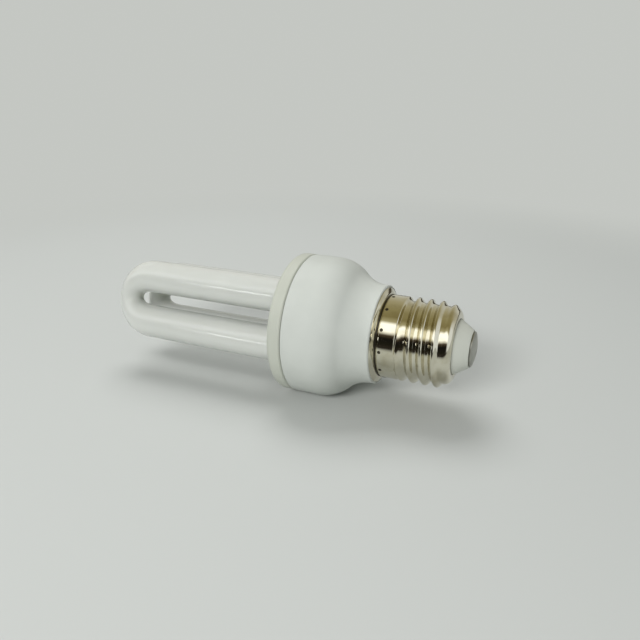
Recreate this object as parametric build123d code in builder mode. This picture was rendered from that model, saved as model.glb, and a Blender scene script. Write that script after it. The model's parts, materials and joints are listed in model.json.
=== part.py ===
# A compact fluorescent lamp with two U bends of glass and a screw cap, lying on its side.
# Millimetres, +Z up. The axis runs along X, with the glass towards -X and the cap towards +X.
# The origin is on the floor, under the middle of the lamp's length.
# A reach is a distance along the axis from the cap's flange: minus to the glass, plus to the contact.

import os
from math import cos, radians, sin

from build123d import *

os.makedirs("parts", exist_ok=True)

# Discharge tube
tube_radius = 5.5
tube_wall = 0.8
leg_spread = 15.4          # between the two legs of one U
pair_spread = 16.0         # between the two U bends
glass_reach = -94.0        # crown of the bends
bend_depth = 9.2           # from where a leg starts to turn to the middle of its crown's bore
crown_radius = 4.4         # the glass is drawn thinner at the crown
leg_end_reach = -20.6
leg_end_round = 2.4
leg_turn = -19.0           # degrees that the four legs are turned about the axis
bridge_radius = 3.2
bridge_standoff = 7.0      # bridge above the holder's face
exhaust_radius = 1.5
exhaust_length = 1.6
bend_sections = 9

# Moulded holder and housing
body_radius = 22.2
wall = 1.3
holder_face_reach = -30.2
holder_round = 1.7
holder_plate = 2.2
seam_reach = -25.6
seam_gap = 0.3
seam_chamfer = 0.35
shoulder_reach = -17.5
neck_reach = -1.2
neck_radius = 15.5
spigot_radius = 12.4
spigot_reach = 5.0
slip = 0.1                 # between parts that push into each other
leg_clearance = 0.25       # round each leg in its hole
cement_radius = 6.9
cement_depth = 2.4

# Screw cap
sheet = 0.3
flange_radius = 14.85
flange_round = 1.9
skirt_reach = 6.4
root_radius = 11.75
crest_radius = 13.1
thread_pitch = 3.629       # seven turns to the inch
thread_width = 2.7         # of one ridge at its foot
thread_start_reach = 8.2
thread_turns = 3.6
shell_end_reach = 22.9
shell_end_round = 2.3
shell_mouth_radius = 8.6
insulator_depth = 2.3
insulator_seat = 0.8       # ledge of the insulator behind the shell's mouth
insulator_tip_radius = 5.8
insulator_bore = 1.25
contact_radius = 5.4
contact_edge = 0.5
contact_reach = 28.6
contact_dome = 0.9
shank_length = 5.0
fit_gap = 0.05

# Circuit board and what stands on it
board_thickness = 1.2
board_gap = 0.25           # round the board in the housing
board_reach = -18.0        # its glass side
choke_width = 16.0
choke_length = 13.0
choke_depth = 5.6
choke_back = 3.0
choke_leg = 2.4
choke_core_leg = 4.4
choke_drop = 7.6           # below the axis
bobbin_wall = 0.5
winding_build = 2.4
storage_radius = 4.0
storage_length = 15.0
storage_rise = 5.2
film_size = (7.0, 3.0, 7.0)
film_places = ((9.4, 8.4), (9.7, 4.0))
starter_size = (7.0, 4.2, 8.0)
starter_place = (-9.4, 6.0)
transistor_size = (3.0, 7.8, 10.0)
transistor_side = 12.6
transistor_drop = 2.2
transistor_hole = 1.6
diode_radius = 1.2
diode_length = 5.0
diode_places = ((-8.2, 11.6), (-8.2, 14.4), (8.2, 11.6), (8.2, 14.4))
resistor_radius = 0.95
resistor_length = 5.5
resistor_places = ((-11.2, -10.6), (-14.0, -9.7), (11.2, -10.6), (14.0, -9.7))
ring_outer = 4.0
ring_inner = 2.1
ring_height = 3.5
ring_rise = 14.0
ring_wire = 0.5
ring_slack = 0.2           # between the ring and a coil round it
ring_coils = 3
fuse_radius = 1.7
fuse_length = 8.0
fuse_reach = 4.0
wire_radius = 0.35
shell_wire_side = 9.6
shell_wire_bend = 1.6
pin_width = 0.9
pin_length = 4.2
pin_spacing = 3.0
pin_rise = 11.6
filament_wire = 0.25
filament_spacing = 2.4

# Places worked out from the sizes above
axis_z = body_radius
flange_x = -(glass_reach + contact_reach) / 2
lamp_axis = Axis((0, 0, axis_z), (1, 0, 0))
side_view = Plane(origin=(flange_x, 0, axis_z), x_dir=(1, 0, 0), z_dir=(0, -1, 0))
leg_places = GridLocations(pair_spread, leg_spread, 2, 2)
bend_reach = glass_reach + crown_radius + bend_depth
bridge_reach = holder_face_reach - bridge_standoff
part_face = board_reach + board_thickness
board_radius = body_radius - wall - board_gap
contact_rim = contact_reach - contact_dome
insulator_end = contact_rim - contact_edge


def station(reach, turn=0.0):
    """Plane square to the axis, with its x sideways and its y up, turned about the axis."""
    across = (0, cos(radians(turn)), sin(radians(turn)))
    return Plane(origin=(flange_x + reach, 0, axis_z), x_dir=across, z_dir=(1, 0, 0))


def side_plane(reach, turn, across, rise):
    """Plane at one point of a station, facing sideways, with its x along the axis."""
    here = station(reach, turn)
    return Plane(origin=here.from_local_coords((across, rise, 0)), x_dir=(1, 0, 0), z_dir=here.x_dir)


def bend_section(across, angle, thinner):
    """One round section of a U bend, at an angle round the bend from its upper leg."""
    crown = sin(radians(angle))
    legs = station(bend_reach - bend_depth * crown, leg_turn)
    centre = legs.from_local_coords((across, leg_spread / 2 * cos(radians(angle)), 0))
    along = legs.z_dir * (-bend_depth * cos(radians(angle)))
    down = legs.y_dir * (-leg_spread / 2 * crown)
    radius = tube_radius - (tube_radius - crown_radius) * crown**2 - thinner
    with BuildSketch(Plane(origin=centre, x_dir=legs.x_dir, z_dir=along + down)) as section:
        Circle(radius)
    return section.sketch


def bend_sections_of(across, thinner):
    """The sections of one U bend, from its upper leg to its lower one."""
    step = 180 / (bend_sections - 1)
    return [bend_section(across, step * number, thinner) for number in range(bend_sections)]


# Discharge tube: two U bends joined by a blown bridge, sealed and hollow
with BuildPart() as discharge_tube:
    with BuildSketch(station(leg_end_reach, leg_turn)):
        with leg_places:
            Circle(tube_radius)
    extrude(amount=bend_reach - leg_end_reach)
    for across in (-pair_spread / 2, pair_spread / 2):
        loft(sections=bend_sections_of(across, 0))
    with BuildSketch(side_plane(bridge_reach, leg_turn, 0, -leg_spread / 2)):
        Circle(bridge_radius)
    extrude(amount=pair_spread / 2, both=True)
    fillet(discharge_tube.edges().group_by(Axis.X)[-1], radius=leg_end_round)
    with BuildSketch(station(leg_end_reach, leg_turn)):
        with Locations((-pair_spread / 2, -leg_spread / 2), (pair_spread / 2, -leg_spread / 2)):
            Circle(exhaust_radius)
    extrude(amount=exhaust_length)
    with BuildSketch(station(leg_end_reach - tube_wall, leg_turn)):
        with leg_places:
            Circle(tube_radius - tube_wall)
    extrude(amount=bend_reach - leg_end_reach + tube_wall, mode=Mode.SUBTRACT)
    for across in (-pair_spread / 2, pair_spread / 2):
        loft(sections=bend_sections_of(across, tube_wall), mode=Mode.SUBTRACT)
    with BuildSketch(side_plane(bridge_reach, leg_turn, 0, -leg_spread / 2)):
        Circle(bridge_radius - tube_wall)
    extrude(amount=pair_spread / 2, both=True, mode=Mode.SUBTRACT)
discharge_tube.part.label = "discharge_tube"
export_step(discharge_tube.part, "parts/discharge_tube.step")

# Tube holder: the ring and plate that the legs go into, with a spigot that carries the board
spigot_outer = body_radius - wall - slip
with BuildPart() as tube_holder:
    with BuildSketch(side_view):
        with BuildLine():
            Polyline(
                (holder_face_reach, 0),
                (holder_face_reach, body_radius),
                (seam_reach, body_radius),
                (seam_reach, spigot_outer),
                (board_reach, spigot_outer),
                (board_reach, spigot_outer - wall),
                (holder_face_reach + holder_plate, spigot_outer - wall),
                (holder_face_reach + holder_plate, 0),
                close=True,
            )
        make_face()
    revolve(axis=lamp_axis)
    with BuildSketch(station(holder_face_reach, leg_turn)):
        with leg_places:
            Circle(tube_radius + leg_clearance)
    extrude(amount=holder_plate, mode=Mode.SUBTRACT)
    rims = tube_holder.edges().filter_by(GeomType.CIRCLE)
    rim_edges = rims.filter_by(lambda edge: edge.radius > body_radius - slip).sort_by(Axis.X)
    fillet(rim_edges[0], radius=holder_round)
    rims = tube_holder.edges().filter_by(GeomType.CIRCLE)
    rim_edges = rims.filter_by(lambda edge: edge.radius > body_radius - slip).sort_by(Axis.X)
    chamfer(rim_edges[-1], length=seam_chamfer)
tube_holder.part.label = "tube_holder"
export_step(tube_holder.part, "parts/tube_holder.step")

# Tube cement: a bead round each leg, behind the holder's plate
cement_reach = holder_face_reach + holder_plate
with BuildPart() as tube_cement:
    with BuildSketch(station(cement_reach, leg_turn)):
        with leg_places:
            Circle(cement_radius)
            Circle(tube_radius + fit_gap, mode=Mode.SUBTRACT)
    extrude(amount=cement_depth)
tube_cement.part.label = "tube_cement"
export_step(tube_cement.part, "parts/tube_cement.step")

# Housing: a bell that narrows in one S curve to the neck, with a spigot inside the cap
curve_run = neck_reach - shoulder_reach
curve_drop = body_radius - neck_radius
curve_middle = (shoulder_reach + curve_run / 2, body_radius - curve_drop / 2)
flange_seat = -fit_gap
with BuildPart() as housing:
    with BuildSketch(side_view):
        with BuildLine() as outline:
            Line((seam_reach + seam_gap, body_radius), (shoulder_reach, body_radius))
            shoulder = TangentArc((shoulder_reach, body_radius), curve_middle, tangent=(1, 0))
            TangentArc(curve_middle, (neck_reach, neck_radius), tangent=shoulder % 1)
            Polyline(
                (neck_reach, neck_radius),
                (flange_seat, neck_radius),
                (flange_seat, spigot_radius),
                (spigot_reach, spigot_radius),
            )
            offset(amount=wall, side=Side.RIGHT)
        make_face()
    revolve(axis=lamp_axis)
    rims = housing.edges().filter_by(GeomType.CIRCLE)
    outer_rims = rims.filter_by(lambda edge: edge.radius > neck_radius - slip)
    seam_edge = outer_rims.filter_by(lambda edge: edge.radius > body_radius - slip).sort_by(Axis.X)[0]
    chamfer(seam_edge, length=seam_chamfer)
housing.part.label = "housing"
export_step(housing.part, "parts/housing.step")

# Screw shell: rolled sheet with a flared flange, a plain skirt and a round thread
ridge_foot = thread_width / 2
ridge_start = thread_start_reach - thread_pitch / 2
end_trim = 0.06            # of a turn, that the groove inside stops short of the ridge


def ridge(depth, first_turn, turns, foot, crest):
    """The helical ridge of the thread, or the groove inside it, as a swept lens."""
    start = flange_x + ridge_start + first_turn * thread_pitch
    with BuildLine() as path:
        Helix(
            pitch=thread_pitch,
            height=turns * thread_pitch,
            radius=root_radius,
            center=(start, 0, axis_z),
            direction=(1, 0, 0),
        )
    spiral = path.line.rotate(lamp_axis, 360 * first_turn)
    out = ((spiral @ 0) - Vector(start, 0, axis_z)).normalized()
    with BuildSketch(Plane(origin=spiral @ 0, x_dir=(1, 0, 0), z_dir=Vector(1, 0, 0).cross(out))) as lens:
        with BuildLine():
            ThreePointArc((-foot, 0), (0, crest), (foot, 0))
            Polyline((foot, 0), (foot, -depth), (-foot, -depth), (-foot, 0))
        make_face()
    with BuildPart() as body:
        sweep(sections=lens.sketch, path=spiral, is_frenet=True)
    return body.part


crest_rise = crest_radius - root_radius
outer_ridge = ridge(sheet / 2, 0, thread_turns, ridge_foot, crest_rise)
inner_ridge = ridge(
    2 * sheet, end_trim, thread_turns - 2 * end_trim, ridge_foot - sheet, crest_rise - sheet
)
skirt_radius = flange_radius - flange_round
with BuildPart() as screw_shell:
    with BuildSketch(side_view):
        with BuildLine():
            RadiusArc((0, flange_radius), (flange_round, skirt_radius), radius=flange_round)
            Polyline(
                (flange_round, skirt_radius),
                (skirt_reach, skirt_radius),
                (skirt_reach + skirt_radius - root_radius, root_radius),
                (shell_end_reach - shell_end_round, root_radius),
            )
            JernArc(
                start=(shell_end_reach - shell_end_round, root_radius),
                tangent=(1, 0),
                radius=shell_end_round,
                arc_size=-90,
            )
            Line(
                (shell_end_reach, root_radius - shell_end_round),
                (shell_end_reach, shell_mouth_radius),
            )
            offset(amount=sheet, side=Side.RIGHT)
        make_face()
    revolve(axis=lamp_axis)
    add(outer_ridge)
    add(inner_ridge, mode=Mode.SUBTRACT)
screw_shell.part.label = "screw_shell"
export_step(screw_shell.part, "parts/screw_shell.step")

# Cap insulator: the cone that closes the shell and holds the end contact
insulator_face = shell_end_reach - sheet - fit_gap
insulator_neck = shell_mouth_radius - 2 * slip
with BuildPart() as cap_insulator:
    with BuildSketch(side_view):
        with BuildLine():
            Polyline(
                (insulator_face - insulator_depth, insulator_bore),
                (insulator_face - insulator_depth, insulator_neck + insulator_seat),
                (insulator_face, insulator_neck + insulator_seat),
                (insulator_face, insulator_neck),
                (shell_end_reach + fit_gap, insulator_neck),
                (insulator_end, insulator_tip_radius),
                (insulator_end, insulator_bore),
                close=True,
            )
        make_face()
    revolve(axis=lamp_axis)
cap_insulator.part.label = "cap_insulator"
export_step(cap_insulator.part, "parts/cap_insulator.step")

# Centre contact: a domed rivet through the insulator
with BuildPart() as centre_contact:
    with BuildSketch(side_view):
        with BuildLine():
            Polyline(
                (contact_reach, 0),
                (insulator_end - shank_length, 0),
                (insulator_end - shank_length, insulator_bore - fit_gap),
                (insulator_end, insulator_bore - fit_gap),
                (insulator_end, contact_radius),
                (contact_rim, contact_radius),
            )
            dome_radius = (contact_radius**2 + contact_dome**2) / (2 * contact_dome)
            RadiusArc((contact_rim, contact_radius), (contact_reach, 0), radius=dome_radius)
        make_face()
    revolve(axis=lamp_axis)
centre_contact.part.label = "centre_contact"
export_step(centre_contact.part, "parts/centre_contact.step")

# Circuit board, on the end of the holder's spigot
with BuildPart() as circuit_board:
    with BuildSketch(station(board_reach)):
        Circle(board_radius)
    extrude(amount=board_thickness)
circuit_board.part.label = "circuit_board"
export_step(circuit_board.part, "parts/circuit_board.step")

# Choke: two E cores face to face, on a bobbin whose axis is the lamp's
choke_middle = part_face + choke_length / 2
choke_window = choke_width / 2 - choke_leg
bobbin_bore = (choke_core_leg + 2 * slip, choke_depth + 2 * slip)
bobbin_barrel = (bobbin_bore[0] + 2 * bobbin_wall, bobbin_bore[1] + 2 * bobbin_wall)
winding_size = (bobbin_barrel[0] + 2 * winding_build, bobbin_barrel[1] + 2 * winding_build)
bobbin_length = choke_length - 2 * choke_back - 2 * slip
choke_plane = Plane(origin=(flange_x + choke_middle, 0, axis_z - choke_drop), z_dir=(0, 0, 1))


def e_core(way):
    """One half of the choke's core: a back and three legs that reach to the middle."""
    reach = choke_length / 2
    with BuildPart() as core:
        with BuildSketch(choke_plane):
            with Locations((way * (reach - choke_back / 2), 0)):
                Rectangle(choke_back, choke_width)
            leg_middle = way * (reach - choke_back) / 2
            leg_length = reach - choke_back
            with Locations((leg_middle, 0)):
                Rectangle(leg_length, choke_core_leg)
            side = choke_width / 2 - choke_leg / 2
            with Locations((leg_middle, side), (leg_middle, -side)):
                Rectangle(leg_length, choke_leg)
        extrude(amount=choke_depth / 2, both=True)
    return core.part


choke_core_rear = e_core(-1)
choke_core_rear.label = "choke_core_rear"
export_step(choke_core_rear, "parts/choke_core_rear.step")

choke_core_front = e_core(1)
choke_core_front.label = "choke_core_front"
export_step(choke_core_front, "parts/choke_core_front.step")

across_choke = Plane(origin=choke_plane.origin, x_dir=(0, 1, 0), z_dir=(1, 0, 0))
with BuildPart() as choke_bobbin:
    with BuildSketch(across_choke):
        Rectangle(*bobbin_barrel)
    extrude(amount=bobbin_length / 2, both=True)
    for way in (-1, 1):
        with BuildSketch(across_choke.offset(way * (bobbin_length / 2 - bobbin_wall / 2))):
            Rectangle(2 * choke_window - 2 * slip, winding_size[1] + 2 * bobbin_wall)
        extrude(amount=bobbin_wall / 2, both=True)
    with BuildSketch(across_choke):
        Rectangle(*bobbin_bore)
    extrude(amount=bobbin_length / 2, both=True, mode=Mode.SUBTRACT)
choke_bobbin.part.label = "choke_bobbin"
export_step(choke_bobbin.part, "parts/choke_bobbin.step")

with BuildPart() as choke_winding:
    with BuildSketch(across_choke):
        RectangleRounded(winding_size[0], winding_size[1], winding_build)
        Rectangle(bobbin_barrel[0] + 2 * fit_gap, bobbin_barrel[1] + 2 * fit_gap, mode=Mode.SUBTRACT)
    extrude(amount=bobbin_length / 2 - bobbin_wall - fit_gap, both=True)
choke_winding.part.label = "choke_winding"
export_step(choke_winding.part, "parts/choke_winding.step")

# Storage capacitor: a can with a rolled edge, stood on the board
with BuildPart() as storage_capacitor:
    with BuildSketch(station(part_face)):
        with Locations((0, storage_rise)):
            Circle(storage_radius)
    extrude(amount=storage_length)
    fillet(storage_capacitor.edges().group_by(Axis.X)[-1], radius=storage_radius / 8)
storage_capacitor.part.label = "storage_capacitor"
export_step(storage_capacitor.part, "parts/storage_capacitor.step")

# Film capacitors and the starting capacitor: dipped blocks with round edges
with BuildPart() as film_capacitors:
    with BuildSketch(station(part_face)):
        with Locations(*film_places):
            RectangleRounded(film_size[0], film_size[1], film_size[1] / 4)
    extrude(amount=film_size[2])
    fillet(film_capacitors.edges().group_by(Axis.X)[-1], radius=film_size[1] / 5)
film_capacitors.part.label = "film_capacitors"
export_step(film_capacitors.part, "parts/film_capacitors.step")

with BuildPart() as starting_capacitor:
    with BuildSketch(station(part_face)):
        with Locations(starter_place):
            RectangleRounded(starter_size[0], starter_size[1], starter_size[1] / 4)
    extrude(amount=starter_size[2])
    fillet(starting_capacitor.edges().group_by(Axis.X)[-1], radius=starter_size[1] / 5)
starting_capacitor.part.label = "starting_capacitor"
export_step(starting_capacitor.part, "parts/starting_capacitor.step")

# Switching transistors: two flat packages on edge, each with its screw hole
transistor_middle = part_face + transistor_size[2] / 2
with BuildPart() as switching_transistors:
    with BuildSketch(station(part_face)):
        with Locations((-transistor_side, -transistor_drop), (transistor_side, -transistor_drop)):
            Rectangle(transistor_size[0], transistor_size[1])
    extrude(amount=transistor_size[2])
    with BuildSketch(side_plane(transistor_middle, 0, 0, -transistor_drop)):
        Circle(transistor_hole)
    extrude(amount=transistor_side + transistor_size[0], both=True, mode=Mode.SUBTRACT)
switching_transistors.part.label = "switching_transistors"
export_step(switching_transistors.part, "parts/switching_transistors.step")


def lying_plane(places, radius, upright):
    """Planes for small round parts that lie on the board, across it or up it."""
    direction = (0, 0, 1) if upright else (0, 1, 0)
    board_top = station(part_face + radius)
    return [
        Plane(origin=board_top.from_local_coords((*place, 0)), x_dir=(1, 0, 0), z_dir=direction)
        for place in places
    ]


with BuildPart() as rectifier_diodes:
    with BuildSketch(*lying_plane(diode_places, diode_radius, False)):
        Circle(diode_radius)
    extrude(amount=diode_length / 2, both=True)
rectifier_diodes.part.label = "rectifier_diodes"
export_step(rectifier_diodes.part, "parts/rectifier_diodes.step")

with BuildPart() as resistors:
    with BuildSketch(*lying_plane(resistor_places, resistor_radius, True)):
        Circle(resistor_radius)
    extrude(amount=resistor_length / 2, both=True)
    fillet(resistors.edges().filter_by(GeomType.CIRCLE), radius=resistor_radius / 3)
resistors.part.label = "resistors"
export_step(resistors.part, "parts/resistors.step")

# Drive ring: a small toroid flat on the board, with coils of wire round it
ring_plane = Plane(origin=station(part_face).from_local_coords((0, ring_rise, 0)), z_dir=(1, 0, 0))
ring_lift = ring_wire + ring_slack
with BuildPart() as drive_ring_core:
    with BuildSketch(ring_plane.offset(ring_lift)):
        Circle(ring_outer)
        Circle(ring_inner, mode=Mode.SUBTRACT)
    extrude(amount=ring_height)
drive_ring_core.part.label = "drive_ring_core"
export_step(drive_ring_core.part, "parts/drive_ring_core.step")

ring_middle = (ring_outer + ring_inner) / 2
ring_band = ring_outer - ring_inner
with BuildPart() as drive_ring_coils:
    for number in range(ring_coils):
        turn = 360 / ring_coils * number
        out = ring_plane.x_dir.rotate(Axis((0, 0, 0), (1, 0, 0)), turn)
        middle = ring_plane.origin + out * ring_middle + ring_plane.z_dir * (ring_lift + ring_height / 2)
        with BuildSketch(Plane(origin=middle, x_dir=out, z_dir=out.cross(ring_plane.z_dir))):
            Rectangle(ring_band + 2 * ring_lift, ring_height + 2 * ring_lift)
            Rectangle(ring_band + 2 * ring_slack, ring_height + 2 * ring_slack, mode=Mode.SUBTRACT)
        extrude(amount=3 * ring_wire / 2, both=True)
drive_ring_coils.part.label = "drive_ring_coils"
export_step(drive_ring_coils.part, "parts/drive_ring_coils.step")

# Fusible resistor, on the axis, with its lead down to the board
with BuildPart() as fuse_resistor:
    with BuildSketch(station(part_face)):
        Circle(wire_radius)
    extrude(amount=fuse_reach - part_face)
    with BuildSketch(station(fuse_reach)):
        Circle(fuse_radius)
    extrude(amount=fuse_length)
    fillet(fuse_resistor.edges().group_by(Axis.X)[-1], radius=fuse_radius / 3)
fuse_resistor.part.label = "fuse_resistor"
export_step(fuse_resistor.part, "parts/fuse_resistor.step")

# Contact lead, from the fusible resistor to the rivet's shank
with BuildPart() as contact_lead:
    with BuildSketch(station(fuse_reach + fuse_length)):
        Circle(wire_radius)
    extrude(amount=insulator_end - shank_length - fuse_reach - fuse_length)
contact_lead.part.label = "contact_lead"
export_step(contact_lead.part, "parts/contact_lead.step")

# Shell lead, from the board up inside the spigot and out to the shell's wall
shell_wire_end = root_radius - sheet - fit_gap
shell_wire_turn = spigot_reach + shell_wire_bend + wire_radius
along_y = Plane(origin=(flange_x, 0, axis_z), x_dir=(1, 0, 0), z_dir=(0, 0, 1))
with BuildPart() as shell_lead:
    with BuildLine(along_y) as route:
        Line((part_face, shell_wire_side), (shell_wire_turn, shell_wire_side))
        JernArc(start=(shell_wire_turn, shell_wire_side), tangent=(1, 0), radius=shell_wire_bend, arc_size=90)
        Line(route.line @ 1, ((route.line @ 1).X - flange_x, shell_wire_end))
    with BuildSketch(station(part_face)):
        with Locations((shell_wire_side, 0)):
            Circle(wire_radius)
    sweep(path=route.line)
shell_lead.part.label = "shell_lead"
export_step(shell_lead.part, "parts/shell_lead.step")

# Pins on the glass side of the board, and the tube's four filament leads that end on them
pin_columns = (-pin_spacing / 2, pin_spacing / 2)
pin_rows = (pin_rise, pin_rise + pin_spacing)
with BuildPart() as wire_wrap_pins:
    with BuildSketch(station(board_reach, leg_turn)):
        with Locations((0, pin_rise + pin_spacing / 2)):
            with GridLocations(pin_spacing, pin_spacing, 2, 2):
                Rectangle(pin_width, pin_width)
    extrude(amount=-pin_length)
wire_wrap_pins.part.label = "wire_wrap_pins"
export_step(wire_wrap_pins.part, "parts/wire_wrap_pins.step")

lead_reach = (leg_end_reach + board_reach) / 2
lead_bend = (lead_reach - leg_end_reach) / 2
with BuildPart() as filament_leads:
    for side in (-1, 1):
        for row in (0, 1):
            start = (side * (pair_spread / 2), leg_spread / 2 + (row - 0.5) * filament_spacing)
            pin = (side * (pin_spacing / 2 + pin_width / 2 + filament_wire + fit_gap), pin_rows[row])
            begin = station(leg_end_reach, leg_turn).from_local_coords((*start, 0))
            corner = station(lead_reach, leg_turn).from_local_coords((*start, 0))
            finish = station(lead_reach, leg_turn).from_local_coords((*pin, 0))
            with BuildLine() as lead_route:
                FilletPolyline(begin, corner, finish, radius=lead_bend)
            with BuildSketch(Plane(origin=begin, z_dir=(1, 0, 0))):
                Circle(filament_wire)
            sweep(path=lead_route.line)
filament_leads.part.label = "filament_leads"
export_step(filament_leads.part, "parts/filament_leads.step")
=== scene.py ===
import json
from math import atan2, cos, floor, pi, radians, sin, sqrt

import bmesh
import bpy
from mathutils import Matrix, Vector


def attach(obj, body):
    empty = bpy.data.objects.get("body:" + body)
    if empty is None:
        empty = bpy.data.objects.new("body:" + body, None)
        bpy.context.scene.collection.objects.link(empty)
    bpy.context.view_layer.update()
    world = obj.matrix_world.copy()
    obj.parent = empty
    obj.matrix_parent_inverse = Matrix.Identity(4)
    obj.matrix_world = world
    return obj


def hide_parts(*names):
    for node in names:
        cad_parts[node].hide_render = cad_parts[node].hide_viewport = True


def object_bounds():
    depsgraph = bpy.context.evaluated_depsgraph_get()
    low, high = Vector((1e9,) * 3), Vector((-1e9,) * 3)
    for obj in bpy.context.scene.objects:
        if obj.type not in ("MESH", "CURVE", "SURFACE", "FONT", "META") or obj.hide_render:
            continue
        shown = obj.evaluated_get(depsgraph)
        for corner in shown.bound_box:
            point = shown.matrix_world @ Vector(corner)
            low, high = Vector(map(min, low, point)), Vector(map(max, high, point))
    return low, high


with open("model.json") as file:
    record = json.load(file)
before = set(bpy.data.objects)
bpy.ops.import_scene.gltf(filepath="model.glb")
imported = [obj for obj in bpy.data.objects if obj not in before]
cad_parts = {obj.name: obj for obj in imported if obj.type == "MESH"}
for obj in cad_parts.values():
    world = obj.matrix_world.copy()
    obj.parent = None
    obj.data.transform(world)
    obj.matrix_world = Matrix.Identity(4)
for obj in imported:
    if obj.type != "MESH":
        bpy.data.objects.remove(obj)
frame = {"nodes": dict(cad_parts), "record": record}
cad_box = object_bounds()
MM = 0.001

# Sizes in millimetres. A reach is told from the cap's flange, along the lamp's axis.
# Most follow the solids. The tube's crowns, the seam, the flange and the thread's run are fitted
# more closely to the photograph.
GLASS_REACH = -94.0
CONTACT_REACH = 28.6
BODY_RADIUS = 22.2
WALL = 1.3
FIT_GAP = 0.1
AXIS_GAP = 0.01

# Discharge tube
TUBE_RADIUS = 5.5
CROWN_RADIUS = 3.9
BEND_DEPTH = 9.7
LEG_SPREAD = 15.4
PAIR_SPREAD = 16.0
LEG_TURN = -19.0
LEG_END_REACH = -20.6
LEG_END_ROUND = 2.4
BRIDGE_RADIUS = 3.2
BRIDGE_REACH = -37.2
BRIDGE_FLARE = 1.3

# Tube holder and housing
HOLDER_FACE = -30.2
HOLDER_ROUND = 1.7
HOLDER_PLATE = 2.2
HOLDER_SPIGOT = -18.0
LEG_CLEARANCE = 0.25
SEAM_REACH = -25.6
SEAM_GAP = 0.16
SEAM_CHAMFER = 0.35
SHOULDER_REACH = -17.5
NECK_REACH = -1.2
NECK_RADIUS = 15.5
NECK_END = -0.05
NECK_EDGE = 0.3
SPIGOT_REACH = 5.0
SPIGOT_RADIUS = 12.4

# Screw shell and its stakes
FLANGE_RADIUS = 14.85
FLANGE_ROUND = 1.9
FLARE_REACH = 0.85
FLARE_DROP = 1.55
FLARE_BOW = 0.15
CREASE_REACH = 1.1
CREASE_RADIUS = 12.5
CREASE_HALF_WIDTH = 0.2
CREASE_DEPTH = 0.35
CREASE_HEIGHT = 0.07
SKIRT_RADIUS = FLANGE_RADIUS - FLANGE_ROUND
SKIRT_REACH = 6.4
ROOT_RADIUS = 11.75
CREST_RADIUS = 13.1
PITCH = 3.629
RIDGE_WIDTH = 2.9
RIDGE_FULLNESS = 0.8
THREAD_START = 6.385
THREAD_TURNS = 3.95
RUN_IN_START = 0.05
RUN_IN_TURNS = 0.4
RUN_OUT_TURNS = 0.7
SHELL_END = 22.9
SHELL_ROUND = 2.3
ROLL_REACH = SHELL_END - SHELL_ROUND
MOUTH_RADIUS = 8.6
MOUTH_BEND = 0.4
SHEET = 0.3
STAKE_COUNT = 12
STAKE_REACH = 2.5
STAKE_RADIUS = 0.42

# Cap insulator and end contact
INSULATOR_START = 20.25
INSULATOR_SEAT = 9.2
INSULATOR_STEP = 22.5
INSULATOR_NECK = 8.4
CONE_REACH = 23.4
CONE_RADIUS = 8.15
INSULATOR_END = 27.2
INSULATOR_TIP = 5.8
TIP_EDGE = 0.35
LEAD_HOLE = 1.25
CONTACT_RADIUS = 5.4
CONTACT_RIM = 27.7
CONTACT_EDGE = 0.1
CONTACT_STEM_START = 22.25
CONTACT_STEM_RADIUS = 1.2

FLANGE_X = cad_box[1][0] - CONTACT_REACH * MM
AXIS_Z = (cad_box[0][2] + cad_box[1][2]) / 2
LATHE_STEPS = 144
SHELL_STEPS = 160
DRILL_STEPS = 64


def spot(reach, across, rise, turn=0.0):
    """A point of the lamp: a reach along its axis, and a place across it, turned about the axis."""
    side = across * cos(radians(turn)) - rise * sin(radians(turn))
    height = across * sin(radians(turn)) + rise * cos(radians(turn))
    return Vector((FLANGE_X + reach * MM, side * MM, AXIS_Z + height * MM))


# Mesh tools

def new_piece(name, bm, smooth_angle=35):
    """A finished piece from a bmesh: doubles merged, faces outwards, smooth up to an angle."""
    bmesh.ops.remove_doubles(bm, verts=bm.verts, dist=2e-6)
    bmesh.ops.recalc_face_normals(bm, faces=bm.faces)
    mesh = bpy.data.meshes.new(name)
    bm.to_mesh(mesh)
    bm.free()
    piece = bpy.data.objects.new(name, mesh)
    bpy.context.scene.collection.objects.link(piece)
    mesh.shade_smooth()
    mesh.set_sharp_from_angle(angle=radians(smooth_angle))
    return piece


def ring_strip(bm, rings):
    """Faces between rings of vertices, one after the other."""
    for first, second in zip(rings, rings[1:]):
        count = len(first)
        for step in range(count):
            after = (step + 1) % count
            bm.faces.new((first[step], first[after], second[after], second[step]))


def lathe(name, outline, smooth_angle=35):
    """A closed outline of (reach, radius) points, turned about the lamp's axis."""
    bm = bmesh.new()
    rings = []
    for reach, radius in outline:
        ring = []
        for step in range(LATHE_STEPS):
            angle = 360 * step / LATHE_STEPS
            ring.append(bm.verts.new(spot(reach, radius, 0, angle)))
        rings.append(ring)
    ring_strip(bm, rings + [rings[0]])
    return new_piece(name, bm, smooth_angle)


def arc(centre, radius, start, end, count):
    """Points of a round stretch of an outline, angles in degrees from the reach direction."""
    points = []
    for step in range(count + 1):
        angle = radians(start + (end - start) * step / count)
        points.append((centre[0] + radius * cos(angle), centre[1] + radius * sin(angle)))
    return points


def bake(piece):
    """The evaluated mesh of a piece in place of its modifiers."""
    depsgraph = bpy.context.evaluated_depsgraph_get()
    mesh = bpy.data.meshes.new_from_object(piece.evaluated_get(depsgraph))
    piece.modifiers.clear()
    piece.data = mesh


# Node tools. All but the first give the socket that their node puts out.

def feed(tree, socket, value):
    """An input that is linked to another node's socket, or set to a number or a colour."""
    if isinstance(value, bpy.types.NodeSocket):
        tree.links.new(value, socket)
    else:
        socket.default_value = value


def noise(tree, place, scale, detail):
    node = tree.nodes.new("ShaderNodeTexNoise")
    feed(tree, node.inputs["Vector"], place)
    feed(tree, node.inputs["Scale"], scale)
    feed(tree, node.inputs["Detail"], detail)
    return node.outputs["Fac"]


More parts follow.
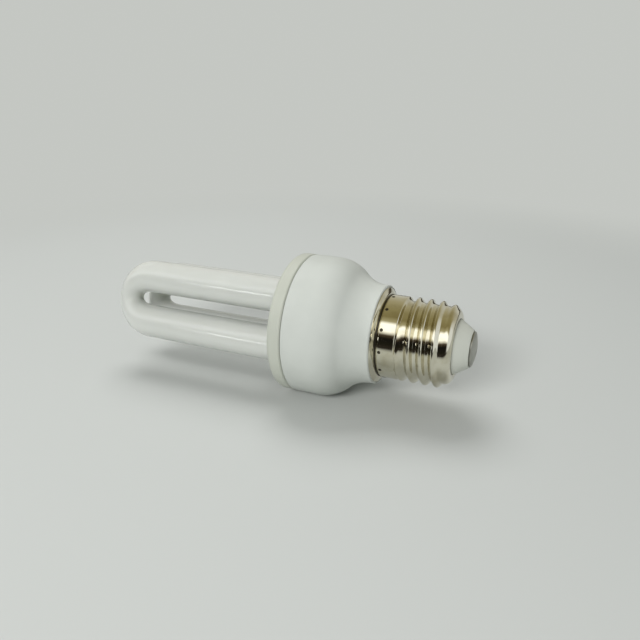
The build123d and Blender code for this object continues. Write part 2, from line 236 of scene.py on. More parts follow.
def remap(tree, value, low, high, bottom=0.0, top=1.0, smooth=False):
    """From bottom to top as the value goes from low to high."""
    node = tree.nodes.new("ShaderNodeMapRange")
    if smooth:
        node.interpolation_type = "SMOOTHSTEP"
    feed(tree, node.inputs["Value"], value)
    feed(tree, node.inputs["From Min"], low)
    feed(tree, node.inputs["From Max"], high)
    feed(tree, node.inputs["To Min"], bottom)
    feed(tree, node.inputs["To Max"], top)
    return node.outputs["Result"]


def product(tree, first, second):
    node = tree.nodes.new("ShaderNodeMath")
    node.operation = "MULTIPLY"
    feed(tree, node.inputs[0], first)
    feed(tree, node.inputs[1], second)
    return node.outputs["Value"]


def color_mix(tree, share, first, second):
    node = tree.nodes.new("ShaderNodeMix")
    node.data_type = "RGBA"
    feed(tree, node.inputs["Factor"], share)
    feed(tree, node.inputs["A"], first)
    feed(tree, node.inputs["B"], second)
    return node.outputs["Result"]


def shader_mix(tree, share, first, second):
    node = tree.nodes.new("ShaderNodeMixShader")
    feed(tree, node.inputs["Fac"], share)
    feed(tree, node.inputs[1], first)
    feed(tree, node.inputs[2], second)
    return node.outputs["Shader"]


def relief(tree, height, strength, distance):
    node = tree.nodes.new("ShaderNodeBump")
    feed(tree, node.inputs["Distance"], distance)
    feed(tree, node.inputs["Strength"], strength)
    feed(tree, node.inputs["Height"], height)
    return node.outputs["Normal"]


# Shared effects, as node groups that put out colours, masks and normals

COLOR = "NodeSocketColor"
NUMBER = "NodeSocketFloat"
VECTOR = "NodeSocketVector"


def new_group(name, inputs):
    """A node group that puts out a colour, a roughness and a normal."""
    tree = bpy.data.node_groups.new(name, "ShaderNodeTree")
    for label, kind, value in inputs:
        socket = tree.interface.new_socket(label, in_out="INPUT", socket_type=kind)
        socket.default_value = value
    for label, kind in (("Color", COLOR), ("Roughness", NUMBER), ("Normal", VECTOR)):
        tree.interface.new_socket(label, in_out="OUTPUT", socket_type=kind)
    given = tree.nodes.new("NodeGroupInput").outputs
    result = tree.nodes.new("NodeGroupOutput").inputs
    place = tree.nodes.new("ShaderNodeTexCoord").outputs["Object"]
    return tree, given, result, place


def moulded_skin_group():
    """Fine grain, soft patches and a little tone change, for moulded plastic and glass."""
    tree, given, result, place = new_group("moulded_skin", [
        ("Color", COLOR, (0.7, 0.7, 0.7, 1)), ("Second Color", COLOR, (0.6, 0.6, 0.6, 1)),
        ("Patch Scale", NUMBER, 60.0), ("Grain Scale", NUMBER, 2500.0), ("Grain Height", NUMBER, 0.05),
        ("Roughness Low", NUMBER, 0.25), ("Roughness High", NUMBER, 0.4),
    ])
    patches = noise(tree, place, given["Patch Scale"], 3.0)
    grain = noise(tree, place, given["Grain Scale"], 2.0)
    tone = remap(tree, patches, 0.35, 0.7)
    color = color_mix(tree, tone, given["Color"], given["Second Color"])
    roughness = remap(tree, patches, 0.0, 1.0, given["Roughness Low"], given["Roughness High"])
    feed(tree, result["Color"], color)
    feed(tree, result["Roughness"], roughness)
    feed(tree, result["Normal"], relief(tree, grain, given["Grain Height"], 0.0001))
    return tree


def turned_marks_group():
    """Fine lines round the lamp's axis and tarnish patches, for rolled and drawn metal."""
    tree, given, result, place = new_group("turned_marks", [
        ("Color", COLOR, (0.7, 0.7, 0.7, 1)), ("Tarnish", COLOR, (0.4, 0.35, 0.3, 1)),
        ("Tarnish Amount", NUMBER, 0.6), ("Line Scale", NUMBER, 4000.0), ("Line Height", NUMBER, 0.06),
        ("Roughness Low", NUMBER, 0.12), ("Roughness High", NUMBER, 0.3),
    ])
    squeeze = tree.nodes.new("ShaderNodeMapping")
    squeeze.inputs["Scale"].default_value = (1.0, 0.03, 0.03)
    feed(tree, squeeze.inputs["Vector"], place)
    lines = noise(tree, squeeze.outputs["Vector"], given["Line Scale"], 3.0)
    patches = noise(tree, place, 180.0, 5.0)
    tarnished = product(tree, remap(tree, patches, 0.42, 0.68), given["Tarnish Amount"])
    color = color_mix(tree, tarnished, given["Color"], given["Tarnish"])
    roughness = remap(tree, tarnished, 0.0, 1.0, given["Roughness Low"], given["Roughness High"])
    feed(tree, result["Color"], color)
    feed(tree, result["Roughness"], roughness)
    feed(tree, result["Normal"], relief(tree, lines, given["Line Height"], 0.00005))
    return tree


moulded_skin = moulded_skin_group()
turned_marks = turned_marks_group()


def new_material(name, group, values, **shader_values):
    """A material with one shared effect in front of its own shader."""
    material = bpy.data.materials.new(name)
    material.use_nodes = True
    nodes, links = material.node_tree.nodes, material.node_tree.links
    shader = nodes["Principled BSDF"]
    effect = nodes.new("ShaderNodeGroup")
    effect.node_tree = group
    for label, value in values.items():
        effect.inputs[label].default_value = value
    links.new(effect.outputs["Color"], shader.inputs["Base Color"])
    links.new(effect.outputs["Roughness"], shader.inputs["Roughness"])
    links.new(effect.outputs["Normal"], shader.inputs["Normal"])
    for label, value in shader_values.items():
        shader.inputs[label.replace("_", " ")].default_value = value
    return material


def rgb(red, green, blue):
    """A colour as shader sockets take it, with its alpha."""
    return (red, green, blue, 1.0)


def plastic(name, color, second, low, high, grain=0.08, **shader_values):
    """A moulded or glassy finish: its two tones, its roughness from low to high, and its grain."""
    values = {"Color": color, "Second Color": second, "Roughness Low": low, "Roughness High": high,
              "Grain Height": grain}
    return new_material(name, moulded_skin, values, **shader_values)


def metal(name, color, tarnish, low, high, amount=0.6):
    """A metal finish: its tone, its tarnish, its roughness from low to high, and how tarnished it is."""
    values = {"Color": color, "Tarnish": tarnish, "Roughness Low": low, "Roughness High": high,
              "Tarnish Amount": amount}
    return new_material(name, turned_marks, values, Metallic=1.0)


housing_white = plastic("housing_white", rgb(0.60, 0.625, 0.588), rgb(0.54, 0.565, 0.53), 0.36, 0.48)
holder_white = plastic("holder_white", rgb(0.52, 0.54, 0.475), rgb(0.50, 0.52, 0.455), 0.32, 0.44)
insulator_white = plastic("insulator_white", rgb(0.59, 0.61, 0.55), rgb(0.57, 0.585, 0.525), 0.35, 0.5)
phosphor_glass = plastic("phosphor_glass", rgb(0.60, 0.615, 0.585), rgb(0.585, 0.60, 0.57), 0.5, 0.6, 0.0,
                         Coat_Weight=1.0, Coat_Roughness=0.04, Coat_IOR=1.5,
                         Subsurface_Weight=1.0, Subsurface_Scale=0.008, Subsurface_Radius=(1.0, 1.0, 0.95))
nickel = metal("nickel", rgb(0.72, 0.69, 0.57), rgb(0.50, 0.455, 0.32), 0.06, 0.15, 0.7)
# Painted shade: a near-black metal for the stakes and the flange crease, standing in for the shade inside
# the punched dents and in the crease
painted_shade_nickel = metal("painted_shade_nickel", rgb(0.09, 0.08, 0.06), rgb(0.04, 0.035, 0.03), 0.35, 0.5)
contact_grey = metal("contact_grey", rgb(0.40, 0.40, 0.36), rgb(0.24, 0.24, 0.21), 0.36, 0.55)

inner_finishes = {
    "silicone": plastic("silicone", rgb(0.66, 0.66, 0.63), rgb(0.6, 0.6, 0.56), 0.35, 0.5),
    "board": plastic("board", rgb(0.42, 0.33, 0.16), rgb(0.34, 0.26, 0.12), 0.4, 0.6),
    "ferrite": plastic("ferrite", rgb(0.06, 0.06, 0.065), rgb(0.09, 0.09, 0.09), 0.4, 0.65, 0.3),
    "copper": metal("copper", rgb(0.62, 0.27, 0.12), rgb(0.35, 0.13, 0.06), 0.25, 0.4),
    "bobbin_plastic": plastic("bobbin_plastic", rgb(0.05, 0.05, 0.05), rgb(0.07, 0.07, 0.07), 0.35, 0.5),
    "capacitor_sleeve": plastic(
        "capacitor_sleeve", rgb(0.03, 0.035, 0.045), rgb(0.05, 0.05, 0.06), 0.2, 0.3),
    "film_epoxy": plastic("film_epoxy", rgb(0.35, 0.05, 0.03), rgb(0.28, 0.04, 0.025), 0.2, 0.3),
    "black_epoxy": plastic("black_epoxy", rgb(0.025, 0.025, 0.025), rgb(0.04, 0.04, 0.04), 0.4, 0.6),
    "resistor_body": plastic("resistor_body", rgb(0.55, 0.42, 0.25), rgb(0.48, 0.36, 0.2), 0.3, 0.45),
    "tinned": metal("tinned", rgb(0.62, 0.61, 0.58), rgb(0.4, 0.39, 0.37), 0.2, 0.35),
}


def finish_piece(piece, material, slot, *nodes):
    """Material, body and the nodes that a piece stands for. The material slot is not used."""
    piece.data.materials.clear()
    piece.data.materials.append(material)
    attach(piece, "root")
    if nodes:
        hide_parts(*nodes)


# Discharge tube: two U bends, each one skin along its own path, and the bridge between them

def bend_path():
    """Centres, directions and radii along one U, from the end of its upper leg to its lower one."""
    bend_reach = GLASS_REACH + CROWN_RADIUS + BEND_DEPTH
    half = LEG_SPREAD / 2
    round_reach = LEG_END_REACH - LEG_END_ROUND
    round_steps = 6
    leg_steps = 14
    bend_steps = 44
    stations = []
    for step in range(round_steps):
        angle = pi / 2 * step / round_steps
        radius = TUBE_RADIUS - LEG_END_ROUND * (1 - sin(angle))
        stations.append((round_reach + LEG_END_ROUND * cos(angle), half, radius))
    for step in range(leg_steps):
        reach = round_reach + (bend_reach - round_reach) * step / leg_steps
        stations.append((reach, half, TUBE_RADIUS))
    bend = []
    for step in range(bend_steps + 1):
        angle = 180 * step / bend_steps
        crown = sin(radians(angle))
        rise = half * cos(radians(angle))
        radius = TUBE_RADIUS - (TUBE_RADIUS - CROWN_RADIUS) * crown**2
        heading = atan2(-half * crown, -BEND_DEPTH * cos(radians(angle)))
        bend.append((bend_reach - BEND_DEPTH * crown, rise, heading, radius))
    upper = [(reach, rise, pi, radius) for reach, rise, radius in stations]
    lower = [(reach, -rise, 0.0, radius) for reach, rise, radius in reversed(stations)]
    return upper + bend + lower


def u_bend(bm, across, segments=56):
    """One U of the tube, closed at both leg ends."""
    rings = []
    for reach, rise, heading, radius in bend_path():
        ring = []
        for step in range(segments):
            angle = 2 * pi * step / segments
            side = radius * cos(angle)
            out = radius * sin(angle)
            point = spot(reach - out * sin(heading), across + side, rise + out * cos(heading), LEG_TURN)
            ring.append(bm.verts.new(point))
        rings.append(ring)
    ring_strip(bm, rings)
    bm.faces.new(rings[0])
    bm.faces.new(rings[-1])


def bridge(bm, segments=40, steps=16):
    """The blown tube that joins the lower legs, flared where it runs into them."""
    reach_across = PAIR_SPREAD / 2 - TUBE_RADIUS * 0.8
    rings = []
    for step in range(steps + 1):
        share = 2 * step / steps - 1
        flare = BRIDGE_FLARE * abs(share)**3
        radius = BRIDGE_RADIUS + flare
        height = BRIDGE_RADIUS + 0.6 * flare
        ring = []
        for turn in range(segments):
            angle = 2 * pi * turn / segments
            reach = BRIDGE_REACH + radius * cos(angle)
            rise = -LEG_SPREAD / 2 + height * sin(angle)
            ring.append(bm.verts.new(spot(reach, share * reach_across, rise, LEG_TURN)))
        rings.append(ring)
    ring_strip(bm, rings)
    bm.faces.new(rings[0])
    bm.faces.new(rings[-1])


tubes = bmesh.new()
for across in (-PAIR_SPREAD / 2, PAIR_SPREAD / 2):
    u_bend(tubes, across)
bridge(tubes)
glass_tubes = new_piece("glass_tubes", tubes, 60)
finish_piece(glass_tubes, phosphor_glass, "phosphor_glass", "discharge_tube")


# Tube holder: a plate with a rounded edge, a spigot into the housing and four holes for the legs

def leg_drill(bm, across, rise):
    """A cylinder that cuts one leg's hole out of the holder's face."""
    radius = TUBE_RADIUS + LEG_CLEARANCE
    start = HOLDER_FACE - 2
    end = HOLDER_FACE + 4
    rings = []
    for reach in (start, end):
        ring = []
        for step in range(DRILL_STEPS):
            angle = 2 * pi * step / DRILL_STEPS
            point = spot(reach, across + radius * cos(angle), rise + radius * sin(angle), LEG_TURN)
            ring.append(bm.verts.new(point))
        rings.append(ring)
    ring_strip(bm, rings)
    bm.faces.new(rings[0])
    bm.faces.new(rings[1])


spigot_outside = BODY_RADIUS - WALL - FIT_GAP
spigot_inside = spigot_outside - WALL
plate_back = HOLDER_FACE + HOLDER_PLATE
holder_outline = [(HOLDER_FACE, 2 * AXIS_GAP)]
holder_outline += arc((HOLDER_FACE + HOLDER_ROUND, BODY_RADIUS - HOLDER_ROUND), HOLDER_ROUND, 180, 90, 10)
holder_outline += [
    (SEAM_REACH - SEAM_CHAMFER, BODY_RADIUS), (SEAM_REACH, BODY_RADIUS - SEAM_CHAMFER),
    (SEAM_REACH, spigot_outside), (HOLDER_SPIGOT, spigot_outside), (HOLDER_SPIGOT, spigot_inside),
    (plate_back, spigot_inside), (plate_back, 2 * AXIS_GAP),
]
holder_ring = lathe("holder_ring", holder_outline)
drills = bmesh.new()
for across in (-PAIR_SPREAD / 2, PAIR_SPREAD / 2):
    for rise in (-LEG_SPREAD / 2, LEG_SPREAD / 2):
        leg_drill(drills, across, rise)
drill_set = new_piece("drill_set", drills)
holes = holder_ring.modifiers.new("leg_holes", "BOOLEAN")
holes.object = drill_set
holes.operation = "DIFFERENCE"
bake(holder_ring)
bpy.data.objects.remove(drill_set)
for face in holder_ring.data.polygons:
    if abs(face.normal.x) > 0.999:
        face.use_smooth = False
finish_piece(holder_ring, holder_white, "holder_white", "tube_holder")

# Housing: the bell, with its S curve from the shoulder to the neck
curve_run = NECK_REACH - SHOULDER_REACH
curve_drop = BODY_RADIUS - NECK_RADIUS
curve_radius = (curve_run**2 + curve_drop**2) / (4 * curve_drop)
curve_angle = atan2(curve_run / 2, curve_radius - curve_drop / 2)
curve_degrees = curve_angle * 180 / pi


def bell_line(inset):
    """The housing's outside, or its inside at a wall's depth, from the shoulder to the neck."""
    shoulder = arc((SHOULDER_REACH, BODY_RADIUS - curve_radius), curve_radius - inset,
                   90, 90 - curve_degrees, 20)
    hollow = arc((NECK_REACH, NECK_RADIUS + curve_radius), curve_radius + inset,
                 270 - curve_degrees, 270, 20)
    return shoulder + hollow[1:]


seam_edge = SEAM_REACH + SEAM_GAP
spigot_bore = SPIGOT_RADIUS - WALL
housing_outline = [(seam_edge, BODY_RADIUS - SEAM_CHAMFER), (seam_edge + SEAM_CHAMFER, BODY_RADIUS)]
housing_outline += bell_line(0)
housing_outline += [
    (NECK_END - NECK_EDGE, NECK_RADIUS), (NECK_END, NECK_RADIUS - NECK_EDGE), (NECK_END, SPIGOT_RADIUS),
    (SPIGOT_REACH, SPIGOT_RADIUS), (SPIGOT_REACH, spigot_bore), (NECK_REACH - WALL, spigot_bore),
]
housing_outline += list(reversed(bell_line(WALL)))
housing_outline += [(seam_edge, BODY_RADIUS - WALL)]
housing_bell = lathe("housing_bell", housing_outline, smooth_angle=30)
finish_piece(housing_bell, housing_white, "housing_white", "housing")


# Screw shell: one skin whose radius follows the rolled profile and the thread's ridge

def ease(value):
    """From 0 to 1 with a soft start and a soft end."""
    value = min(max(value, 0.0), 1.0)
    return value * value * (3 - 2 * value)


def sheet_radius(reach):
    """Outside radius of the shell without its thread."""
    if reach < FLARE_REACH:
        share = reach / FLARE_REACH
        return FLANGE_RADIUS - FLARE_DROP * ((1 - FLARE_BOW) * share + FLARE_BOW * share * share)
    if reach < CREASE_REACH:
        share = (reach - FLARE_REACH) / (CREASE_REACH - FLARE_REACH)
        return FLANGE_RADIUS - FLARE_DROP + (CREASE_RADIUS - FLANGE_RADIUS + FLARE_DROP) * share
    if reach < FLANGE_ROUND:
        share = (reach - CREASE_REACH) / (FLANGE_ROUND - CREASE_REACH)
        return CREASE_RADIUS + (SKIRT_RADIUS - CREASE_RADIUS) * sqrt(share)
    skirt_drop = SKIRT_RADIUS - ROOT_RADIUS
    if reach < SKIRT_REACH + skirt_drop:
        return SKIRT_RADIUS - skirt_drop * ease((reach - SKIRT_REACH) / skirt_drop)
    if reach < ROLL_REACH:
        return ROOT_RADIUS
    return ROOT_RADIUS - SHELL_ROUND + sqrt(max(SHELL_ROUND**2 - (reach - ROLL_REACH)**2, 0))


def ridge_height(reach, turn):
    """How far the thread stands out of the sheet at a reach and a share of a turn."""
    nearest = floor((reach - THREAD_START) / PITCH - turn + 0.5) + turn
    distance = abs(reach - THREAD_START - nearest * PITCH) / (RIDGE_WIDTH / 2)
    if distance >= 1:
        return 0.0
    run_in = ease((nearest - RUN_IN_START) / RUN_IN_TURNS)
    run_out = ease((THREAD_TURNS + RUN_OUT_TURNS / 2 - nearest) / RUN_OUT_TURNS)
    bulge = (0.5 + 0.5 * cos(pi * distance))**RIDGE_FULLNESS
    return (CREST_RADIUS - ROOT_RADIUS) * run_in * run_out * bulge


def shell_radius(reach, turn):
    """Outside radius of the shell with its thread."""
    sheet = sheet_radius(reach)
    return max(sheet, min(sheet, ROOT_RADIUS) + ridge_height(reach, turn))


def shell_ring(bm, reach, radii):
    """A ring of the shell at a reach, from its radii at even shares of a turn."""
    ring = []
    for step, radius in enumerate(radii):
        angle = 2 * pi * step / len(radii)
        ring.append(bm.verts.new(spot(reach, -radius * sin(angle), radius * cos(angle))))
    return ring


def stretch(start, end, steps):
    """Evenly spaced reaches, from the start to one step before the end."""
    return [start + (end - start) * step / steps for step in range(steps)]


reaches = stretch(0.0, FLARE_REACH, 8)
reaches += stretch(FLARE_REACH, CREASE_REACH, 4)
reaches += stretch(CREASE_REACH, FLANGE_ROUND, 6)
reaches += stretch(FLANGE_ROUND, ROLL_REACH, 150)
reaches += [ROLL_REACH + SHELL_ROUND * sin(pi / 2 * step / 14) for step in range(15)]
shell = bmesh.new()
shell_rings = []
for reach in reaches:
    radii = [shell_radius(reach, step / SHELL_STEPS) for step in range(SHELL_STEPS)]
    shell_rings.append(shell_ring(shell, reach, radii))
for radius in (ROOT_RADIUS - SHELL_ROUND - MOUTH_BEND, MOUTH_RADIUS):
    shell_rings.append(shell_ring(shell, SHELL_END, [radius] * SHELL_STEPS))
ring_strip(shell, shell_rings)
rolled_shell = new_piece("rolled_shell", shell, 50)
thickness = rolled_shell.modifiers.new("sheet", "SOLIDIFY")
thickness.thickness = SHEET * MM
thickness.offset = -1
bake(rolled_shell)
finish_piece(rolled_shell, nickel, "nickel", "screw_shell")

# Flange crease: a narrow ring painted dark, standing in for the shade where the flange turns into the
# skirt
crease_start = CREASE_REACH - CREASE_HALF_WIDTH
crease_end = CREASE_REACH + CREASE_HALF_WIDTH
crease_outline = [
    (crease_start, SKIRT_RADIUS - CREASE_DEPTH), (crease_start, SKIRT_RADIUS + CREASE_HEIGHT),
    (CREASE_REACH, SKIRT_RADIUS + 0.01), (crease_end, SKIRT_RADIUS),
    (crease_end, SKIRT_RADIUS - CREASE_DEPTH),
]
flange_crease = lathe("flange_crease", crease_outline)
finish_piece(flange_crease, painted_shade_nickel, "nickel")


# Stakes: small beads round the skirt, where the shell is punched into the housing's spigot, painted dark
# to stand in for the shade inside the punched dents

def stake_mark_mesh():
    """One stake, facing +Z: a low bead with a shallow dip in its middle."""
    outline = [(1.3, -0.05), (1.15, 0.06), (0.9, 0.09), (0.6, 0.05), (0.3, 0.03), (0.001, 0.02)]
    steps = 20
    bm = bmesh.new()
    rings = []
    for share, height in outline:
        radius = share * STAKE_RADIUS * MM
        ring = []
        for step in range(steps):
            angle = 2 * pi * step / steps
            ring.append(bm.verts.new((radius * cos(angle), radius * sin(angle), height * MM)))
        rings.append(ring)
    ring_strip(bm, rings)
    bm.faces.new(rings[-1])
    bm.faces.new(rings[0])
    return new_piece("stake_mark", bm, 70)


def ring_of_copies_tree(material):
    """Copies of one object on a circle about X, each turned to face outwards."""
    tree = bpy.data.node_groups.new("ring_of_copies", "GeometryNodeTree")
    tree.interface.new_socket("Geometry", in_out="INPUT", socket_type="NodeSocketGeometry")
    inputs = {"Copy": "NodeSocketObject", "Count": "NodeSocketInt", "Radius": NUMBER, "Place": VECTOR}
    for label, kind in inputs.items():
        tree.interface.new_socket(label, in_out="INPUT", socket_type=kind)
    tree.interface.new_socket("Geometry", in_out="OUTPUT", socket_type="NodeSocketGeometry")
    nodes, links = tree.nodes, tree.links
    given = nodes.new("NodeGroupInput")
    circle = nodes.new("GeometryNodeMeshCircle")
    links.new(given.outputs["Count"], circle.inputs["Vertices"])
    links.new(given.outputs["Radius"], circle.inputs["Radius"])
    position = nodes.new("GeometryNodeInputPosition")
    aim = nodes.new("FunctionNodeAlignRotationToVector")
    aim.axis = "Z"
    turn = nodes.new("GeometryNodeTransform")
    turn.inputs["Rotation"].default_value = (0.0, pi / 2, 0.0)
    links.new(circle.outputs["Mesh"], turn.inputs["Geometry"])
    links.new(position.outputs["Position"], aim.inputs["Vector"])
    source = nodes.new("GeometryNodeObjectInfo")
    links.new(given.outputs["Copy"], source.inputs["Object"])
    copies = nodes.new("GeometryNodeInstanceOnPoints")
    links.new(turn.outputs["Geometry"], copies.inputs["Points"])
    links.new(source.outputs["Geometry"], copies.inputs["Instance"])
    links.new(aim.outputs["Rotation"], copies.inputs["Rotation"])
    shift = nodes.new("GeometryNodeTransform")
    links.new(copies.outputs["Instances"], shift.inputs["Geometry"])
    links.new(given.outputs["Place"], shift.inputs["Translation"])
    real = nodes.new("GeometryNodeRealizeInstances")
    links.new(shift.outputs["Geometry"], real.inputs["Geometry"])
    paint = nodes.new("GeometryNodeSetMaterial")
    paint.inputs["Material"].default_value = material
    links.new(real.outputs["Geometry"], paint.inputs["Geometry"])
    result = nodes.new("NodeGroupOutput")
    links.new(paint.outputs["Geometry"], result.inputs["Geometry"])
    return tree


stake_mark = stake_mark_mesh()
stakes = bpy.data.objects.new("shell_stakes", bpy.data.meshes.new("shell_stakes"))
bpy.context.scene.collection.objects.link(stakes)
copier = stakes.modifiers.new("copies", "NODES")
copier.node_group = ring_of_copies_tree(painted_shade_nickel)
stake_values = {"Copy": stake_mark, "Count": STAKE_COUNT, "Radius": SKIRT_RADIUS * MM,
                "Place": tuple(spot(STAKE_REACH, 0, 0))}
for item in copier.node_group.interface.items_tree:
    if item.in_out == "INPUT" and item.name in stake_values:
        copier[item.identifier] = stake_values[item.name]
bake(stakes)
bpy.data.objects.remove(stake_mark)
stakes.data.shade_smooth()
finish_piece(stakes, painted_shade_nickel, "nickel")

# Cap insulator and the end contact
insulator_outline = [
    (INSULATOR_START, LEAD_HOLE), (INSULATOR_START, INSULATOR_SEAT), (INSULATOR_STEP, INSULATOR_SEAT),
    (INSULATOR_STEP + 0.05, INSULATOR_NECK), (SHELL_END + 0.1, INSULATOR_NECK), (CONE_REACH, CONE_RADIUS),
    (INSULATOR_END - TIP_EDGE, INSULATOR_TIP + 0.18), (INSULATOR_END, INSULATOR_TIP - 0.15),
    (INSULATOR_END, LEAD_HOLE),
]
insulator_cone = lathe("insulator_cone", insulator_outline, smooth_angle=28)
finish_piece(insulator_cone, insulator_white, "insulator_white", "cap_insulator")

dome_height = CONTACT_REACH - CONTACT_RIM
dome_radius = (CONTACT_RADIUS**2 + dome_height**2) / (2 * dome_height)
dome_steps = 12
contact_outline = [
    (INSULATOR_END, CONTACT_RADIUS - CONTACT_EDGE), (INSULATOR_END + 0.12, CONTACT_RADIUS),
    (CONTACT_RIM - CONTACT_EDGE, CONTACT_RADIUS),
]
for step in range(1, dome_steps + 1):
    radius = CONTACT_RADIUS * (1 - step / dome_steps) * 0.985 + AXIS_GAP
    contact_outline.append((CONTACT_REACH - dome_radius + sqrt(dome_radius**2 - radius**2), radius))
contact_outline += [
    (CONTACT_STEM_START, AXIS_GAP), (CONTACT_STEM_START, CONTACT_STEM_RADIUS),
    (INSULATOR_END, CONTACT_STEM_RADIUS),
]
contact_button = lathe("contact_button", contact_outline, smooth_angle=40)
finish_piece(contact_button, contact_grey, "contact_metal", "centre_contact")

# Inner pieces keep their own shapes and get their finishes
slot_of = {entry["node"]: entry["material_slot"] for entry in frame["record"]["subparts"]}
for name, node in frame["nodes"].items():
    finish = inner_finishes.get(slot_of[name])
    if finish is not None:
        node.data.materials.clear()
        node.data.materials.append(finish)

# Table: a pale round of paper, with its sizes in metres

TABLE_RADIUS = 0.34
BACKDROP = rgb(0.555, 0.572, 0.543)


def table_paper():
    """Pale paper whose near part is dark in mirrors, and whose edge the camera sees as backdrop."""
    material = bpy.data.materials.new("table_paper")
    material.use_nodes = True
    tree = material.node_tree
    paper = tree.nodes["Principled BSDF"]
    paper.inputs["Roughness"].default_value = 0.85
    paper.inputs["Specular IOR Level"].default_value = 0.2
    paper.inputs["Base Color"].default_value = rgb(0.575, 0.592, 0.572)
    place = tree.nodes.new("ShaderNodeTexCoord").outputs["Object"]
    axes = tree.nodes.new("ShaderNodeSeparateXYZ")
    feed(tree, axes.inputs["Vector"], place)
    from_middle = tree.nodes.new("ShaderNodeVectorMath")
    from_middle.operation = "LENGTH"
    feed(tree, from_middle.inputs[0], place)
    rays = tree.nodes.new("ShaderNodeLightPath")
    mirrored_end = tree.nodes.new("ShaderNodeEmission")
    mirrored_end.inputs["Color"].default_value = rgb(0.03, 0.025, 0.02)
    backdrop = tree.nodes.new("ShaderNodeEmission")
    backdrop.inputs["Color"].default_value = BACKDROP

    near_part = remap(tree, axes.outputs["Y"], -0.07, -0.12)
    in_mirror = product(tree, rays.outputs["Is Glossy Ray"], near_part)
    mirrored = shader_mix(tree, in_mirror, paper.outputs["BSDF"], mirrored_end.outputs["Emission"])
    edge = remap(tree, from_middle.outputs["Value"], 0.20, 0.335, smooth=True)
    seen_edge = product(tree, rays.outputs["Is Camera Ray"], edge)
    surface = shader_mix(tree, seen_edge, mirrored, backdrop.outputs["Emission"])
    feed(tree, tree.nodes["Material Output"].inputs["Surface"], surface)
    return material


table_round = bmesh.new()
bmesh.ops.create_circle(table_round, cap_ends=True, segments=128, radius=TABLE_RADIUS)
table = new_piece("table", table_round)
table.data.materials.append(table_paper())


# World: even light on what is lit, a room for what is mirrored, and a backdrop for the camera

def background(tree, color, strength=1.0):
    node = tree.nodes.new("ShaderNodeBackground")
    feed(tree, node.inputs["Color"], color)
    feed(tree, node.inputs["Strength"], strength)
    return node.outputs["Background"]


def climb_about_x(tree, axes):
    """Share of a turn about X: 0.5 is the near horizon, 0.75 overhead and 1 the far horizon."""
    side = tree.nodes.new("ShaderNodeCombineXYZ")
    feed(tree, side.inputs["X"], product(tree, axes["Y"], -1.0))
    feed(tree, side.inputs["Y"], axes["Z"])
    climb = tree.nodes.new("ShaderNodeTexGradient")
    climb.gradient_type = "RADIAL"
    feed(tree, climb.inputs["Vector"], side.outputs["Vector"])
    return climb.outputs["Fac"]


def climb_ramp(tree, climb, stops):
    """Colours by degrees of climb: 0 is the near horizon, 90 overhead and 180 the far horizon."""
    ramp = tree.nodes.new("ShaderNodeValToRGB")
    feed(tree, ramp.inputs["Fac"], climb)
    elements = ramp.color_ramp.elements
    elements[0].position = 0.0
    elements[0].color = rgb(*stops[0][1])
    elements[1].position = 1.0
    elements[1].color = rgb(*stops[-1][1])
    for degrees, color in stops:
        elements.new(0.5 + degrees / 360).color = rgb(*color)
    return ramp.outputs["Color"]


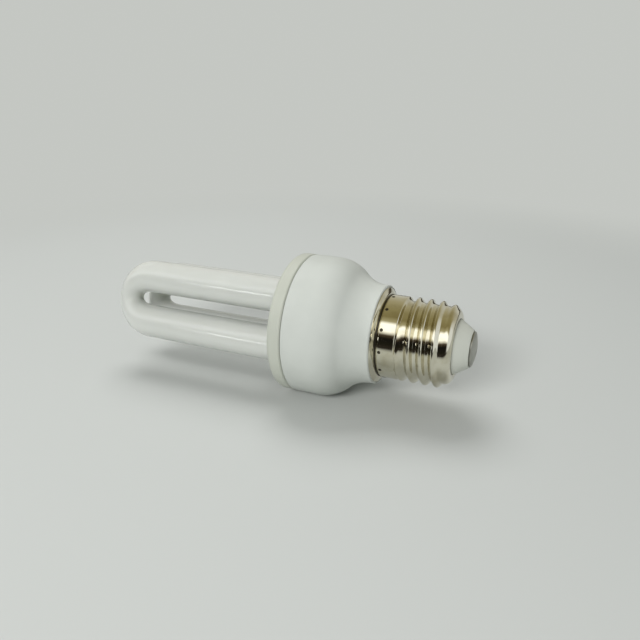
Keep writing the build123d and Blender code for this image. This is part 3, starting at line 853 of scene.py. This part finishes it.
def studio_world():
    """A world that mirrors see as a dark room with a lit band, an end wall and a barred window."""
    world = bpy.data.worlds.new("studio")
    world.use_nodes = True
    tree = world.node_tree
    tree.nodes.clear()
    axes_node = tree.nodes.new("ShaderNodeSeparateXYZ")
    feed(tree, axes_node.inputs["Vector"], tree.nodes.new("ShaderNodeTexCoord").outputs["Generated"])
    axes = axes_node.outputs
    climb = climb_about_x(tree, axes)

    room = climb_ramp(tree, climb, [
        (-40, (0.07, 0.06, 0.045)), (-6, (0.02, 0.018, 0.012)), (15, (0.010, 0.009, 0.008)),
        (24, (0.08, 0.06, 0.04)), (30, (0.95, 0.93, 0.86)), (35, (1.6, 1.6, 1.55)), (54, (1.6, 1.6, 1.55)),
        (62, (0.48, 0.44, 0.27)), (76, (0.26, 0.22, 0.10)), (100, (0.32, 0.28, 0.14)),
        (130, (0.42, 0.38, 0.24)), (155, (0.52, 0.50, 0.40)), (175, (0.6, 0.6, 0.55)),
    ])
    end_wall = remap(tree, axes["X"], 0.72, 0.90)
    mirrored_room = background(tree, color_mix(tree, end_wall, room, rgb(0.85, 0.88, 0.90)))

    window_bars = climb_ramp(tree, climb, [
        (6.6, (0, 0, 0)), (7.4, (0.5, 0.5, 0.5)), (8.0, (0.5, 0.5, 0.5)), (8.8, (0, 0, 0)),
        (10.4, (0, 0, 0)), (11.2, (1, 1, 1)), (12.2, (1, 1, 1)), (13.0, (0, 0, 0)),
    ])
    window_start = remap(tree, axes["X"], -0.57, -0.52, top=14.0)
    window_end = remap(tree, axes["X"], -0.40, -0.44)
    mirrored_window = background(tree, window_bars, product(tree, window_start, window_end))
    mirrored = tree.nodes.new("ShaderNodeAddShader")
    feed(tree, mirrored.inputs[0], mirrored_room)
    feed(tree, mirrored.inputs[1], mirrored_window)

    rays = tree.nodes.new("ShaderNodeLightPath")
    even_light = background(tree, rgb(0.97, 1.0, 0.97), 0.30)
    lit = shader_mix(tree, rays.outputs["Is Glossy Ray"], even_light, mirrored.outputs["Shader"])
    seen = shader_mix(tree, rays.outputs["Is Camera Ray"], lit, background(tree, BACKDROP))
    result = tree.nodes.new("ShaderNodeOutputWorld")
    feed(tree, result.inputs["Surface"], seen)
    return world


bpy.context.scene.world = studio_world()


# Lamps, with sizes in metres

def area_light(name, place, target, width, length, power):
    """A soft rectangular lamp that faces a point, and that shiny pieces don't mirror."""
    light = bpy.data.lights.new(name, "AREA")
    light.shape = "RECTANGLE"
    light.size = width
    light.size_y = length
    light.energy = power
    lamp = bpy.data.objects.new(name, light)
    lamp.location = place
    lamp.visible_glossy = False
    lamp.rotation_euler = (Vector(target) - Vector(place)).to_track_quat("-Z", "Y").to_euler()
    bpy.context.scene.collection.objects.link(lamp)


LIT_POINT = (0, 0, 0.02)
area_light("ceiling_lamp", (-0.18, 0.22, 0.60), LIT_POINT, 0.4, 0.35, 2.15)
area_light("front_lamp", (-0.03, -0.66, 0.42), LIT_POINT, 0.35, 0.14, 3.75)

# Camera, at the photograph's place and angle
CAMERA_PLACE = (0.0861, -0.1756, 0.1028)
CAMERA_DIP = 22.52
CAMERA_TURN = 23.16
camera = bpy.data.cameras.new("camera")
camera.sensor_width = 36.0
camera.lens = 36.0
viewer = bpy.data.objects.new("camera", camera)
viewer.location = CAMERA_PLACE
viewer.rotation_euler = (radians(90 - CAMERA_DIP), 0.0, radians(CAMERA_TURN))
bpy.context.scene.collection.objects.link(viewer)
bpy.context.scene.camera = viewer
bpy.context.scene.view_settings.view_transform = "Standard"
